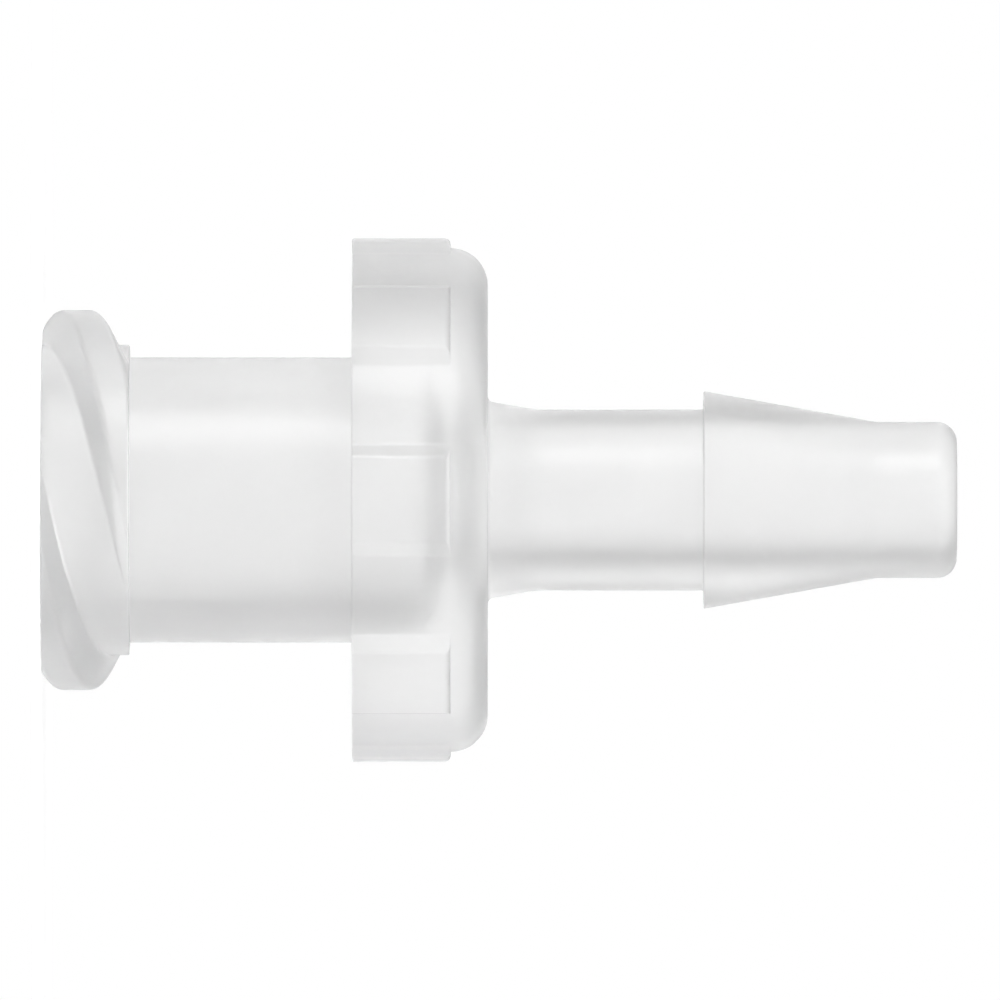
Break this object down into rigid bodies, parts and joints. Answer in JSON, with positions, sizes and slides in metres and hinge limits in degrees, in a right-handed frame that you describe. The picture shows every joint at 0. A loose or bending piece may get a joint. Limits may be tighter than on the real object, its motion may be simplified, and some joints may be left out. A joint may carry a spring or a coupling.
{
  "type": "female luer hose barb",
  "caption": "Moulded translucent adapter with a female luer lock socket, a padded grip collar and a barbed hose stem.",
  "frame": {"origin": "centre of the luer mouth, in the plane of the mouth face that the part stands on", "axes": "+Z along the bore from the luer mouth to the hose tip; +X through the middle of one collar pad and of one thread ridge"},
  "size_m": [0.0108, 0.0108, 0.0187],
  "materials": {
    "natural_polypropylene": "translucent natural polypropylene, smooth moulded satin"
  },
  "bodies": {
    "root": {"luer_barb_fitting": "natural_polypropylene"}
  },
  "joints": []
}
